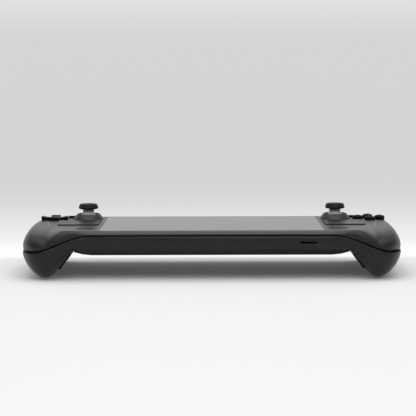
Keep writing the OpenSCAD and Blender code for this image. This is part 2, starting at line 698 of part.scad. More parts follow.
module stick_shaft(side) color("black") at_stick(side) {
    difference() {
        intersection() {
            sphere(skirt_r, $fn = 64);
            block(0, 0, 0, 60, 60, skirt_top);
        }
        intersection() {
            sphere(skirt_r - skirt_t, $fn = 64);
            block(0, 0, -1, 60, 60, hollow_z - skirt_t + 1);
        }
        translate([0, 0, hollow_z]) cylinder(hollow_h + eps, hollow_r - 1.1, hollow_r, $fn = 48);
    }
    translate([0, 0, -4.4]) post(hollow_z + 4, shaft_d / 2);
    rotate_extrude($fn = 48) polygon(concat(
        [[0, hollow_z - eps]],
        [for (a = [270 : -15 : 180])
            [neck_d / 2 + flare * (1 + cos(a)), hollow_z - eps + flare * (1 + sin(a))]],
        [[neck_d / 2, cap_z], [0, cap_z]]));
    translate([0, 0, cap_z - eps]) post(1.4, 2.4);
}
module stick_cap(side) color("black") at_stick(side) translate([0, 0, cap_z]) difference() {
    rotate_extrude($fn = 64) polygon([
        [0, 0], [cap_d / 2 - 1.1, 0], [cap_d / 2 - 0.35, 0.35], [cap_d / 2, 1], [cap_d / 2 - 0.15, 1.7],
        [cap_d / 2 - 0.5, 2.5], [cap_d / 2 - 0.9, cap_h - 0.3], [cap_d / 2 - 1.5, cap_h], [0, cap_h]]);
    translate([0, 0, -1]) post(2.5, 2.45);
    translate([0, 0, cap_h + 15]) sphere(16, $fn = 64);
}

// Trackpads with their haptic motors
module trackpad(side) color("black") on_side(side) translate([pad_x, pad_y, 0]) {
    translate([0, 0, plate_z - eps]) linear_extrude(plate_t + pad_h) rounded(pad_w, pad_w, 1.6);
    translate([0, 0, plate_z - 1.2]) linear_extrude(1.2) rounded(pad_w + 3, pad_w + 3, 2);
}
module haptic_motors() color("silver") left_and_right()
    translate([pad_x, pad_y, plate_z - 4.4]) linear_extrude(3.2) rounded(16, 12, 2);

// Boards under the button groups, with the direction pad's pivot post on the left one
dpad_pivot_z = face_h - 3;
dpad_flange = 1.2;
ball_r = 1.8;
module at_group(side) {
    on_side(side) translate([group_x, group_y, 0]) children();
}
module control_board(side) color("darkgreen") at_group(side) {
    translate([0, 0, group_board_z]) post(board_t, group_board_r);
    if (side == "left") difference() {
        translate([0, 0, group_board_z]) post(dpad_pivot_z - 0.9 - group_board_z, 1.5);
        translate([0, 0, dpad_pivot_z]) sphere(ball_r + 0.05, $fn = 40);
    }
}
module button_sheet(side, dome_z, hole_r) at_group(side) translate([0, 0, group_board_z + board_t]) difference() {
    union() {
        post(0.8, 12);
        for (a = [0 : 90 : 270]) rotate([0, 0, a]) translate([face_pitch - 0.6, 0, 0])
            cylinder(dome_z - group_board_z - board_t, 3, 2, $fn = 32);
    }
    for (a = [45 : 90 : 315]) rotate([0, 0, a]) translate([post_ring, 0, -1]) post(9, post_r + 0.4);
    translate([0, 0, -1]) post(9, hole_r);
}
module dpad_membrane() color("gray") button_sheet("left", plate_z - 3, 2);
module face_membrane() color("gray") button_sheet("right", plate_z - 3.9, 1);
module dpad_pivot() color("silver") at_group("left") translate([0, 0, dpad_pivot_z]) sphere(ball_r, $fn = 40);
module dpad() color("black") at_group("left") difference() {
    union() {
        cross(dpad_w, dpad_arm, plate_z - 1.2, face_h + dpad_h - plate_z + 1.2);
        cross(dpad_w + dpad_flange, dpad_arm + 2 * dpad_flange, plate_z - 2, 1);
    }
    dish_r = (pow(dpad_w / 2, 2) + pow(dpad_dish, 2)) / (2 * dpad_dish);
    translate([0, 0, face_h + dpad_h - dpad_dish + dish_r]) sphere(dish_r, $fn = 96);
    translate([0, 0, dpad_pivot_z]) sphere(ball_r + 0.1, $fn = 40);
    translate([0, 0, plate_z - 4]) post(dpad_pivot_z - plate_z + 4, 2.1);
}

// Round face buttons and menu buttons
module face_button(k) color("black") at_group("right") rotate([0, 0, 90 - 90 * k]) translate([face_pitch, 0, 0]) {
    dome = 0.9;
    dome_r = (pow(face_d / 2, 2) + pow(dome, 2)) / (2 * dome);
    intersection() {
        translate([0, 0, plate_z - 2]) cylinder(9, face_d / 2, face_d / 2, $fn = 48);
        translate([0, 0, face_h + face_btn_h - dome_r]) sphere(dome_r, $fn = 96);
    }
    translate([0, 0, plate_z - 2.6]) cylinder(0.9, face_d / 2 + 0.55, face_d / 2 + 0.55, $fn = 48);
}
module menu_button_at(side) color("black") on_side(side) translate([view_x, view_y, 0]) {
    translate([0, 0, plate_z - 1]) linear_extrude(plate_t + 1 + pill_h) round_pill(pill_w, pill_d);
    translate([0, 0, plate_z - 1.3]) linear_extrude(1) round_pill(pill_w + 1.6, pill_d + 1.6);
}
module home_button_at(side) color("black") on_side(side) translate([home_x, home_y, 0]) {
    translate([0, 0, plate_z - 1]) linear_extrude(plate_t + 1.1) round_pill(home_w, home_d);
    translate([0, 0, plate_z - 1.3]) linear_extrude(1) round_pill(home_w + 1.6, home_d + 1.6);
}

// Shoulder bumpers and triggers
module bumper(side) color("black") on_side(side) difference() {
    union() {
        intersection() {
            outer_body();
            corner_strip(bumper_e0, bumper_e1, 3, bumper_t, 0, bumper_z0, bumper_z1);
        }
        translate([bumper_x, bumper_y, bumper_z0]) post(7, 2.6);
    }
    translate([bumper_x, bumper_y, bumper_z0 - 1]) post(9, pin_r + pin_clear);
}
// Side view of a trigger about its pin: top, rounded outer face, lip and hollow inner face
function trigger_outline(h) = concat(
    [[-1, 1.1], [16, 1.1]],
    [for (a = [0 : -15 : -90]) [8.5 + 6 * cos(a), 6 - h + 6 * sin(a)]],
    [[3, 0.3 - h], [2, 1.2 - h], [2.2, 2.6 - h]],
    [for (a = [-80 : 20 : 60]) [2.6 + 5 * cos(a), 8.2 - h + 5 * sin(a)]],
    [[2, -3.2], [-1, -3]]);
module trigger(side) color("black") on_side(side) difference() {
    union() {
        intersection() {
            translate([0, trigger_y, trigger_z]) along_x(trigger_x0, trigger_x1)
                polygon(trigger_outline(trigger_z - 3));
            corner_strip(half_w - trigger_x0 + 5, half_w - trigger_x1 - 5, edge_h, 30, 0, -5, shoulder_z - 0.3);
            along_y(-body_d, body_d) polygon(concat(
                [[trigger_x1, shoulder_z], [trigger_x0, shoulder_z]],
                [for (k = [0 : 12]) let (u = k / 12)
                    [mix(trigger_x0, trigger_x1, u),
                     3 + 9 * (1 - round_end(u, 0.55, 2)) + 6 * (1 - round_end(1 - u, 0.4, 2))]]));
        }
        translate([0, trigger_y, trigger_z]) along_x(trigger_x0, trigger_x1) circle(2.7, $fn = 32);
    }
    translate([0, trigger_y, trigger_z]) along_x(trigger_x0 - 1, trigger_x1 + 1)
        circle(trigger_pin_r + pin_clear, $fn = 32);
}
module trigger_pin(side) color("silver") on_side(side) translate([0, trigger_y, trigger_z])
    along_x(trigger_x0 - 0.2 - ear_t, trigger_x1 + 0.2 + ear_t) circle(trigger_pin_r, $fn = 32);
module trigger_bracket(side) color("gray") on_side(side) difference() {
    union() {
        translate([trigger_x0 - 0.3 - ear_t, pocket_y, trigger_z - 3])
            cube([trigger_w + 0.6 + 2 * ear_t, 1.2, 4.4]);
        for (x = [trigger_x0 - 0.3 - ear_t, trigger_x1 + 0.3]) {
            translate([x, pocket_y, trigger_z - 2.4]) cube([ear_t, trigger_y - pocket_y, 3.8]);
            translate([0, trigger_y, trigger_z]) along_x(x, x + ear_t) circle(2.4, $fn = 32);
        }
        translate([bumper_x - 1.2, trigger_y, trigger_z + 0.3]) cube([2.1, bumper_y - trigger_y, 1.1]);
        translate([bumper_x, bumper_y, trigger_z + 0.3]) post(1.1, pin_r + 0.1);
        translate([bumper_x, bumper_y, trigger_z + 0.5]) post(8, pin_r);
    }
    translate([0, trigger_y, trigger_z]) along_x(trigger_x0 - 5, trigger_x1 + 5)
        circle(trigger_pin_r + pin_clear, $fn = 32);
}

// Paddles on the inner walls of the grips
module paddle(side, y, w, d) color("black") on_side(side) on_grip_wall(y) {
    translate([0, 0, -2.2]) linear_extrude(3) rounded(w, d, 4);
    translate([0, 0, 0.8 - eps]) linear_extrude(0.5) rounded(w - 1, d - 1, 3.5);
    translate([0, 0, -3.2]) linear_extrude(1.1) rounded(w + 2, d + 2, 4);
}

front_shell();
rear_shell();
rear_screws();
screen_glass();
screen_gasket();
display_panel();
mid_frame();
mainboard();
heatsink();
fan_housing();
fan_rotor();
battery();
ssd_module();
card_socket();
usb_c_port();
audio_jack();
edge_button(volume_x[0]);  // volume_down_button
edge_button(volume_x[1]);  // volume_up_button
edge_button(power_x);  // power_button
haptic_motors();
dpad();
dpad_pivot();
dpad_membrane();
face_membrane();
menu_button_at("left");  // view_button
menu_button_at("right");  // menu_button
home_button_at("left");  // home_button
home_button_at("right");  // quick_button
for (k = [0 : 3])
    face_button(k);
for (side = SIDES) {
    stick_base(side);
    stick_yoke(side);
    stick_rocker(side);
    stick_shaft(side);
    stick_cap(side);
    trackpad(side);
    control_board(side);
    speaker(side);
    bumper(side);
    trigger(side);
    trigger_bracket(side);
    trigger_pin(side);
    paddle(side, upper_paddle_y, upper_paddle_w, upper_paddle_d);
    paddle(side, lower_paddle_y, lower_paddle_w, lower_paddle_d);
}
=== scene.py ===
"""Looks of the handheld game console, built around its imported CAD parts."""
import json
import math

import bmesh
import bpy
import numpy as np
from mathutils import Euler, Matrix, Vector


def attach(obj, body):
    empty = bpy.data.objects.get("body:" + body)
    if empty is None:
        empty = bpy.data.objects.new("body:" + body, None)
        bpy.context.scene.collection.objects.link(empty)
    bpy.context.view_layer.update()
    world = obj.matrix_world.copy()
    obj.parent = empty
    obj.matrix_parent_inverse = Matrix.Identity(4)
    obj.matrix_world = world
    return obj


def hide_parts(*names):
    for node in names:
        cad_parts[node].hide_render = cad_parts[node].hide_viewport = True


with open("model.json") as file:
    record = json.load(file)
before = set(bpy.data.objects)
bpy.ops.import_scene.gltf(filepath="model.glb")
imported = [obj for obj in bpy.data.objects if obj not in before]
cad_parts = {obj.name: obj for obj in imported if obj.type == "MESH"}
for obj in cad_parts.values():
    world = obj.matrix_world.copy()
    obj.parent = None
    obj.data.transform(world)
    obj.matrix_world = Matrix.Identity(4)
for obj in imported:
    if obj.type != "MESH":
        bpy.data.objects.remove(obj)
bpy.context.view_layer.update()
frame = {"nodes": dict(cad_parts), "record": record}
nodes = frame["nodes"]
node_body = {n: b for b, members in frame["record"]["behaviour"]["bodies"].items() for n in members}
node_slot = {p["node"]: p["material_slot"] for p in frame["record"]["subparts"]}
MM = 0.001


# Camera, at the height and angle of the photograph, in metres and degrees
CAMERA_PLACE = (0.00035, -1.0895, 0.1562)
CAMERA_LENS_MM = 118.6
CAMERA_DOWN = 5.548
CAMERA_YAW = 0.171
CAMERA_ROLL = -0.18
camera_data = bpy.data.cameras.new("camera")
camera_data.sensor_width = 36.0
camera_data.lens = CAMERA_LENS_MM
camera_data.clip_end = 20.0
camera = bpy.data.objects.new("camera", camera_data)
camera.location = CAMERA_PLACE
turn = Euler((math.radians(90 - CAMERA_DOWN), 0.0, math.radians(CAMERA_YAW))).to_matrix()
camera.rotation_euler = (turn @ Matrix.Rotation(math.radians(CAMERA_ROLL), 3, "Z")).to_euler()
bpy.context.scene.collection.objects.link(camera)
bpy.context.scene.camera = camera


# Outer skin of the housing, in millimetres, with the rails that the solids are lofted on
HALF_W = 148.05
BODY_D = 117.0
FACE_H = 38.0
SLAB_Z = 22.0
SLAB_SETBACK = 4.5
EDGE_H = 0.5  # how far the buttons of the far edge stand out
# Distances from the outermost edge of a grip
RIM_E = 0.004
TOP_ROUND = 12.0
CREST_E = 14.0
CREASE_E = 17.5
GRIP_AXIS = 18.5
BLEND_E = 20.0
TIP_E = 23.0
CORNER_E = 27.0
GRIP_W = 44.5
# The outermost edge: where it starts and ends behind the near end, and its height
WIDEST_NEAR = 38.0
WIDEST_FAR = 90.0
WIDEST_Z = 22.3
# Top of a grip: rise of its full section, slopes on both sides of the crease, softness of the crease
CROWN = 1.4
OUTER_SLOPE = 0.05
FACE_SLOPE = 0.1
CREASE_SOFT = 1.2
# Highest and lowest line of the section, behind the near end
TOP_CREST_RIM = 58.0
TOP_CREST_GRIP = 82.0
LOW_CREST_GRIP = 42.0
SLAB_CREST = 60.0
# Powers of the curves: ends of the rails, then quarters of the section on a grip and on the slab
TIP_POWER = 2.2
ROUND_POWER = 2.0
LOW_POWER = 1.6
TOP_FAR, TOP_NEAR, TOP_SLAB = 4.0, 2.5, 7.0
LOW_FAR, LOW_NEAR, LOW_SLAB = 3.0, 3.6, 6.0
# Part line, and the edges of both shells that turn in beside it
SEAM_Z = 34.8
SEAM_DROP = 13.4
SEAM_GAP = 0.9
SEAM_START = HALF_W - 56.0
SEAM_RUN = 50.0
FRONT_ROLL_SLAB, FRONT_ROLL_RIM, FRONT_ROLL_GRIP = 0.35, 0.8, 2.6
FRONT_ROLL_RIM_E = 7.0
FRONT_HIGH_SLAB, FRONT_HIGH_GRIP = 1.0, 8.5
REAR_ROLL, REAR_HIGH = 0.4, 1.3
# Back of the rear shell, which keeps the solid's shape
BACK_HALF_W = 108.0
BACK_Z = SLAB_Z + 4.5
# Limits of the smoothing
END_BAND = 1.0
FLAT_TOLERANCE = 0.01
LEAST_SPAN = 0.01
SKIN_TOLERANCE = 0.9
STEP_LIMIT, MOVE_LIMIT = 0.6, 3.0
FINEST_EDGE, FINEST_GAP = 0.7, 0.02
SETTLE_STEPS, SPLIT_ROUNDS = 4, 4
SKIN_PROBE, ROLL_PROBE = 0.02, 0.05
LEAST_SLOPE, LEAST_ACROSS, TINY = 1e-4, 0.05, 1e-9
WELD = 2e-6  # metres


def mix(a, b, t):
    return a + (b - a) * t


def smooth(t):
    u = np.clip(t, 0.0, 1.0)
    return u * u * (3.0 - 2.0 * u)


def round_end(e, span, power):
    u = np.clip(e / span, 0.0, 1.0)
    return np.maximum(1.0 - (1.0 - u) ** power, 0.0) ** (1.0 / power)


def soft_min(a, b, width):
    h = np.maximum(width - np.abs(a - b), 0.0) / width
    return np.minimum(a, b) - h * h * width / 4.0


def skin_level(p):
    """Below 0 inside the body, 0 on its skin, above 0 outside."""
    e = np.maximum(HALF_W - np.abs(p[:, 0]), RIM_E)
    s = p[:, 1] + BODY_D / 2
    z = p[:, 2]
    b = smooth((e - BLEND_E) / (GRIP_W - BLEND_E))
    waist = mix(WIDEST_Z, (FACE_H + SLAB_Z) / 2, b)
    near = np.where(e < TIP_E, WIDEST_NEAR * (1.0 - round_end(e, TIP_E, TIP_POWER)),
                    SLAB_SETBACK * smooth((e - TIP_E) / (GRIP_W - TIP_E)))
    far = mix(WIDEST_FAR, BODY_D - EDGE_H, round_end(e, CORNER_E, ROUND_POWER))
    flank = waist + (FACE_H + CROWN - waist) * round_end(e, TOP_ROUND, ROUND_POWER)
    shoulder = FACE_H + np.where(e < CREASE_E, OUTER_SLOPE, FACE_SLOPE) * (e - CREASE_E)
    top = soft_min(flank, shoulder, CREASE_SOFT)
    bottom = np.where(e < GRIP_AXIS, waist * (1.0 - round_end(e, GRIP_AXIS, LOW_POWER)), SLAB_Z * b)
    upper = z >= waist
    top_crest = mix(mix(TOP_CREST_RIM, TOP_CREST_GRIP, smooth(e / CREST_E)), SLAB_CREST, b)
    crest = np.where(upper, top_crest, mix(LOW_CREST_GRIP, SLAB_CREST, b))
    rise = np.where(upper, (z - waist) / np.maximum(top - waist, LEAST_SPAN),
                    (waist - z) / np.maximum(waist - bottom, LEAST_SPAN))
    behind = s >= crest
    reach = np.where(behind, (s - crest) / (far - crest), (crest - s) / (crest - near))
    power = np.where(upper, np.where(behind, mix(TOP_FAR, TOP_SLAB, b), mix(TOP_NEAR, TOP_SLAB, b)),
                     np.where(behind, mix(LOW_FAR, LOW_SLAB, b), mix(LOW_NEAR, LOW_SLAB, b)))
    return (reach ** power + rise ** power) ** (1.0 / power) - 1.0


def slope(field, p, step):
    out = np.empty_like(p)
    for axis in range(3):
        d = np.zeros(3)
        d[axis] = step
        out[:, axis] = (field(p + d) - field(p - d)) / (2.0 * step)
    return out


def unit(v):
    return v / np.maximum(np.linalg.norm(v, axis=1, keepdims=True), TINY)


def toward_grip(x):
    """0 where the part line is level in front of the screen, 1 where it has dropped on a grip."""
    return smooth((np.abs(x) - SEAM_START) / SEAM_RUN)


def part_line(x):
    return SEAM_Z - SEAM_DROP * toward_grip(x)


def front_roll(p):
    """How far the lower edge of the front shell turns inwards above the part line."""
    out = toward_grip(p[:, 0])
    deep = mix(FRONT_ROLL_RIM, FRONT_ROLL_GRIP, smooth((HALF_W - np.abs(p[:, 0])) / FRONT_ROLL_RIM_E))
    t = (p[:, 2] - part_line(p[:, 0])) / mix(FRONT_HIGH_SLAB, FRONT_HIGH_GRIP, out)
    return mix(FRONT_ROLL_SLAB, deep, out) * np.clip(1.0 - t, 0.0, 1.0) ** 2


def rear_roll(p):
    """How far the upper edge of the rear shell turns inwards under the part line."""
    t = (part_line(p[:, 0]) - SEAM_GAP - p[:, 2]) / REAR_HIGH
    return REAR_ROLL * np.clip(1.0 - t, 0.0, 1.0) ** 2


def skin_distance(p):
    """Signed distance from the skin, and the skin's direction there."""
    g = slope(skin_level, p, SKIN_PROBE)
    size = np.maximum(np.linalg.norm(g, axis=1), LEAST_SLOPE)
    return skin_level(p) / size, g / size[:, None]


def at_end(p):
    """True for points beside the outermost edge, where the skin is nearly upright."""
    return np.abs(p[:, 0]) > HALF_W - END_BAND


def settled(p, flat, fixed):
    """Points moved onto the skin; points of the flat face stay in its plane."""
    start = p.copy()
    for _ in range(SETTLE_STEPS):
        d, n = skin_distance(p)
        n[flat, 2] = 0.0
        across = np.linalg.norm(n, axis=1)
        move = np.clip(d / np.maximum(across, LEAST_ACROSS), -STEP_LIMIT, STEP_LIMIT)
        p = p - unit(n) * move[:, None]
    away = p - start
    far = np.linalg.norm(away, axis=1)
    p = start + away * np.minimum(1.0, MOVE_LIMIT / np.maximum(far, TINY))[:, None]
    p[fixed] = start[fixed]
    return p


def outward(p):
    """Level direction out of the skin."""
    n = skin_distance(p)[1]
    n[at_end(p)] = (1.0, 0.0, 0.0)
    n[at_end(p), 0] *= np.sign(p[at_end(p), 0])
    n[:, 2] = 0.0
    return unit(n)


def welded(node):
    """A mesh to work on, copied from a CAD node, with its split corners joined."""
    bm = bmesh.new()
    bm.from_mesh(nodes[node].data)
    bmesh.ops.remove_doubles(bm, verts=bm.verts, dist=WELD)
    return bm


def coordinates(bm):
    bm.verts.ensure_lookup_table()
    bm.verts.index_update()
    return np.array([v.co for v in bm.verts]) / MM


def move_corners(bm, p, chosen):
    for v, place, moved in zip(bm.verts, p, chosen):
        if moved:
            v.co = place * MM


def mark_skin(bm):
    """Marks the faces that lie on the outer skin: 1, or 2 on the back, which keeps its shape."""
    mark = bm.faces.layers.int.new("skin")
    p = coordinates(bm)
    faces = list(bm.faces)
    corners = np.array([[v.index for v in f.verts] for f in faces])
    normals = np.array([f.normal for f in faces])
    level = np.abs(skin_distance(p)[0])[corners].max(axis=1)
    middle = p[corners].mean(axis=1)
    along = (skin_distance(middle)[1] * normals).sum(axis=1)
    end = at_end(p)[corners].all(axis=1) & (normals[:, 0] * np.sign(middle[:, 0]) > 0.5)
    flat = np.abs(p[corners][:, :, 2] - FACE_H).max(axis=1) < FLAT_TOLERANCE
    back = (np.abs(middle[:, 0]) < BACK_HALF_W) & (middle[:, 2] < BACK_Z)
    skin = ((level < SKIN_TOLERANCE) & (along > 0.8) | end) & ~flat
    for f, kind in zip(faces, np.where(back, 2, 1) * skin):
        f[mark] = int(kind)
    return mark


def skin_corners(bm, mark):
    return np.array([any(f[mark] == 1 for f in v.link_faces) for v in bm.verts])


def settle_mesh(bm, mark):
    p = coordinates(bm)
    on_skin = skin_corners(bm, mark)
    flat = np.abs(p[:, 2] - FACE_H) < FLAT_TOLERANCE
    wall = np.array([any(not f[mark] and abs(f.normal.z) < 0.9 for f in v.link_faces) for v in bm.verts])
    fixed = (flat & wall) | at_end(p)
    p[on_skin] = settled(p[on_skin], flat[on_skin], fixed[on_skin])
    move_corners(bm, p, on_skin)


def split_long_edges(bm, mark, roll):
    edges = [e for e in bm.edges if any(f[mark] == 1 for f in e.link_faces)]
    ends = np.array([[e.verts[0].co, e.verts[1].co] for e in edges]) / MM
    middle = ends.mean(axis=1)
    off = np.abs(skin_distance(middle)[0]) + roll(middle)
    length = np.linalg.norm(ends[:, 0] - ends[:, 1], axis=1)
    chosen = [e for e, far, size in zip(edges, off, length) if far > FINEST_GAP and size > FINEST_EDGE]
    bmesh.ops.subdivide_edges(bm, edges=chosen, cuts=1)
    bmesh.ops.triangulate(bm, faces=[f for f in bm.faces if len(f.verts) > 3])


def stand_in(name, mesh, node):
    """A piece that shows in place of a CAD node and moves with the same body."""
    piece = bpy.data.objects.new(name, mesh)
    bpy.context.scene.collection.objects.link(piece)
    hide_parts(node)
    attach(piece, node_body[node])
    return piece


def smooth_skin(node, roll):
    """A finer copy of a shell: its facets are drawn out to the true curve, and its edge is rolled in."""
    bm = welded(node)
    bmesh.ops.triangulate(bm, faces=bm.faces)
    mark = mark_skin(bm)
    face_z = (FACE_H - FLAT_TOLERANCE) * MM
    crease = [v for v, skin in zip(bm.verts, skin_corners(bm, mark)) if skin and v.co.z > face_z]
    bmesh.ops.remove_doubles(bm, verts=crease, dist=FINEST_EDGE * MM)
    for _ in range(SPLIT_ROUNDS):
        settle_mesh(bm, mark)
        split_long_edges(bm, mark, roll)
    settle_mesh(bm, mark)
    p = coordinates(bm)
    direction = unit(skin_distance(p)[1] + slope(roll, p, ROLL_PROBE))
    direction[at_end(p)] = 0.0
    on_skin = skin_corners(bm, mark)
    p[on_skin] -= outward(p[on_skin]) * roll(p[on_skin])[:, None]
    move_corners(bm, p, on_skin)
    bm.normal_update()
    loop_on_skin = np.repeat([f[mark] > 0 for f in bm.faces], 3)
    plane = np.array([f.normal if abs(f.normal.z) > 0.9999 else (0, 0, 0) for f in bm.faces])
    mesh = bpy.data.meshes.new(node + "_skin")
    bm.to_mesh(mesh)
    bm.free()
    mesh.shade_smooth()
    mesh.set_sharp_from_angle(angle=math.radians(28))
    # A zero normal leaves Blender's own normal in place
    index = np.empty(len(mesh.loops), dtype=np.int32)
    mesh.loops.foreach_get("vertex_index", index)
    normals = np.where(loop_on_skin[:, None], direction[index], np.repeat(plane, 3, axis=0))
    mesh.normals_split_custom_set(normals.tolist())
    return stand_in(node + "_skin", mesh, node)


def rounded_copy(node, width):
    """A copy of a CAD node with its sharp edges rounded by width millimetres."""
    bm = welded(node)
    bmesh.ops.dissolve_limit(bm, angle_limit=math.radians(0.4), verts=bm.verts, edges=bm.edges)
    sharp = [e for e in bm.edges if len(e.link_faces) == 2 and e.calc_face_angle() > math.radians(35)]
    bmesh.ops.bevel(bm, geom=sharp, offset=width * MM, offset_type="OFFSET", segments=2, profile=0.5,
                    affect="EDGES", clamp_overlap=True)
    mesh = bpy.data.meshes.new(node + "_rounded")
    bm.to_mesh(mesh)
    bm.free()
    if "custom_normal" in mesh.attributes:
        mesh.attributes.remove(mesh.attributes["custom_normal"])
    mesh.shade_smooth()
    mesh.set_sharp_from_angle(angle=math.radians(40))
    piece = stand_in(node + "_rounded", mesh, node)
    flats = piece.modifiers.new("flats", "WEIGHTED_NORMAL")
    flats.mode = "FACE_AREA"
    flats.weight = 100
    flats.keep_sharp = True
    return piece


# Turned pieces, from (radius, height) pairs in millimetres
TURN_STEPS = 72


def turned(node, middle, profile):
    """A piece turned about a vertical axis through middle."""
    n = TURN_STEPS
    mesh = bpy.data.meshes.new(node + "_turned")
    turns = [(math.cos(math.tau * k / n), math.sin(math.tau * k / n)) for k in range(n)]
    verts = [((middle[0] + r * c) * MM, (middle[1] + r * d) * MM, (middle[2] + z) * MM)
             for r, z in profile for c, d in turns]
    faces = [[i * n + k, i * n + (k + 1) % n, (i + 1) * n + (k + 1) % n, (i + 1) * n + k]
             for i in range(len(profile) - 1) for k in range(n)]
    faces.append(list(range(n))[::-1])
    faces.append([(len(profile) - 1) * n + k for k in range(n)])
    mesh.from_pydata(verts, [], faces)
    mesh.shade_smooth()
    mesh.set_sharp_from_angle(angle=math.radians(50))
    return stand_in(node + "_turned", mesh, node)


def arc(middle, radii, start, end, steps):
    """Points of an ellipse about middle, between two angles in degrees."""
    return [(middle[0] + radii[0] * math.cos(a), middle[1] + radii[1] * math.sin(a))
            for a in np.radians(np.linspace(start, end, steps))]


def stick_profile():
    """Stem, hollow ball-shaped skirt with a rolled rim, and the neck that rises from the dip in it."""
    ball_r, hollow_r, stem_r, neck_r = 13.6, 12.4, 1.8, 4.6
    stem = [(stem_r, -4.4), (stem_r, 7.2)]
    inside = arc((0, 0), (hollow_r, hollow_r), 35.5, 0, 12)
    skirt = arc((0, 0), (ball_r, ball_r), 0, 45.5, 22)
    rim = arc((9.1, 9.75), (0.35, 0.35), 45, 180, 8)
    dip = [(8.5, 9.0), (8.2, 8.6), (7.7, 8.6)]
    flare = arc((neck_r + 3.0, 12.6), (3.0, 3.6), -90, -180, 12)
    return stem + inside + skirt + rim + dip + flare + [(neck_r, 14.2)]


def button_profile():
    """Straight side and a domed top."""
    button_r, top_z, dome_drop = 4.25, 3.1, 1.0
    shoulder = arc((button_r - 0.5, 1.75), (0.5, 0.4), 0, 60, 6)
    dome = [(r, top_z - dome_drop * (r / 4.0) ** 2) for r in np.linspace(3.5, 0.05, 10)]
    return [(button_r, -4.6)] + shoulder + dome


# Fine raised pale line where the flat face ends on a grip, carrying a painted highlight of the crease, in
# millimetres
BEAD_FAR_Y, BEAD_NEAR_Y = 22.0, -46.0
BEAD_POINTS = 90
BEAD_X = 130.4
BEAD_BEND = 24.8
BEAD_BEND_Y = -4.0
BEAD_BEND_RUN = 41.5
BEAD_R = 0.2
BEAD_THIN, BEAD_SWELL = 0.7, 0.8  # shares of the radius
BEAD_SWELL_Y, BEAD_SWELL_RUN = 2.0, 14.0
BEAD_LOWEST_Z = 30.0


def skin_height(x, y):
    """Height of the upper skin, found by halving."""
    low, high = BEAD_LOWEST_Z, FACE_H
    for _ in range(30):
        middle = (low + high) / 2
        outside = skin_level(np.array([[x, y, middle]]))[0] > 0
        low, high = (low, middle) if outside else (middle, high)
    return low


def face_bead(side):
    """The raised line of one grip, laid on the skin, and thickest near the middle of the body's depth."""
    path = []
    for y in np.linspace(BEAD_FAR_Y, BEAD_NEAR_Y, BEAD_POINTS):
        x = BEAD_X - BEAD_BEND * max(0.0, (BEAD_BEND_Y - y) / BEAD_BEND_RUN) ** 1.5
        path.append(Vector((side * x, y, skin_height(x, y))) * MM)
    curve = bpy.data.curves.new("face_bead", "CURVE")
    curve.dimensions = "3D"
    curve.bevel_depth = BEAD_R * MM
    curve.bevel_resolution = 2
    spline = curve.splines.new("POLY")
    spline.points.add(len(path) - 1)
    for point, place in zip(spline.points, path):
        point.co = (*place, 1.0)
        swell = math.exp(-((place.y / MM - BEAD_SWELL_Y) / BEAD_SWELL_RUN) ** 2)
        point.radius = BEAD_THIN + BEAD_SWELL * swell
    line = bpy.data.objects.new("bead_line", curve)
    mesh = bpy.data.meshes.new_from_object(line)
    bpy.data.objects.remove(line)
    piece = bpy.data.objects.new("face_bead_" + ("right" if side > 0 else "left"), mesh)
    bpy.context.scene.collection.objects.link(piece)
    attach(piece, node_body["front_shell"])
    return piece


# Pieces that show; a node with no piece of its own shows itself
STICK = Vector((101.6, 36.0, 32.4))
GROUP = Vector((129.35, 35.5, FACE_H))
FACE_PITCH = 8.9
EDGE_WIDTHS = {
    "dpad": 0.3, "view_button": 0.25, "menu_button": 0.25, "home_button": 0.12, "quick_button": 0.12,
    "left_trackpad": 0.15, "right_trackpad": 0.15, "screen_glass": 0.15,
    "left_trigger": 0.4, "right_trigger": 0.4, "left_bumper": 0.3, "right_bumper": 0.3,
    "volume_down_button": 0.2, "volume_up_button": 0.2, "power_button": 0.2,
    "left_upper_paddle": 0.4, "left_lower_paddle": 0.4,
    "right_upper_paddle": 0.4, "right_lower_paddle": 0.4,
}
shown = dict(nodes)
shown["front_shell"] = smooth_skin("front_shell", front_roll)
shown["rear_shell"] = smooth_skin("rear_shell", rear_roll)
for side, x in (("left", -STICK.x), ("right", STICK.x)):
    node = side + "_stick_shaft"
    shown[node] = turned(node, (x, STICK.y, STICK.z), stick_profile())
for name, across, along in (("north", 0, 1), ("east", 1, 0), ("south", 0, -1), ("west", -1, 0)):
    node = "face_button_" + name
    place = (GROUP.x + FACE_PITCH * across, GROUP.y + FACE_PITCH * along, GROUP.z)
    shown[node] = turned(node, place, button_profile())
for node, width in EDGE_WIDTHS.items():
    shown[node] = rounded_copy(node, width)
highlight_beads = [face_bead(-1), face_bead(1)]


# Material helpers
def feed(tree, socket, value):
    """Links a socket to another node, or sets its number or colour."""
    if isinstance(value, bpy.types.NodeSocket):
        tree.links.new(value, socket)
    else:
        socket.default_value = value


def put(tree, kind, **sockets):
    node = tree.nodes.new("ShaderNode" + kind)
    for name, value in sockets.items():
        feed(tree, node.inputs[name.replace("_", " ")], value)
    return node


def calc(tree, operation, *values, kind="Math"):
    node = tree.nodes.new("ShaderNode" + kind)
    node.operation = operation
    for socket, value in zip(node.inputs, values):
        feed(tree, socket, value)
    return node.outputs["Value"]


def new_material(name, **sockets):
    material = bpy.data.materials.new(name)
    material.use_nodes = True
    tree = material.node_tree
    shader = tree.nodes["Principled BSDF"]
    for socket, value in sockets.items():
        shader.inputs[socket.replace("_", " ")].default_value = value
    return material, tree, shader


def grey(value, tint=0.0):
    return (value, value, value * (1.0 + tint), 1.0)


def colour_mix(tree, factor, a, b):
    node = tree.nodes.new("ShaderNodeMix")
    node.data_type = "RGBA"
    for socket, value in ((node.inputs[0], factor), (node.inputs[6], a), (node.inputs[7], b)):
        feed(tree, socket, value)
    return node.outputs[2]


def ranged(tree, value, low, high, to_low, to_high):
    node = put(tree, "MapRange", Value=value, From_Min=low, From_Max=high, To_Min=to_low, To_Max=to_high)
    return node.outputs["Result"]


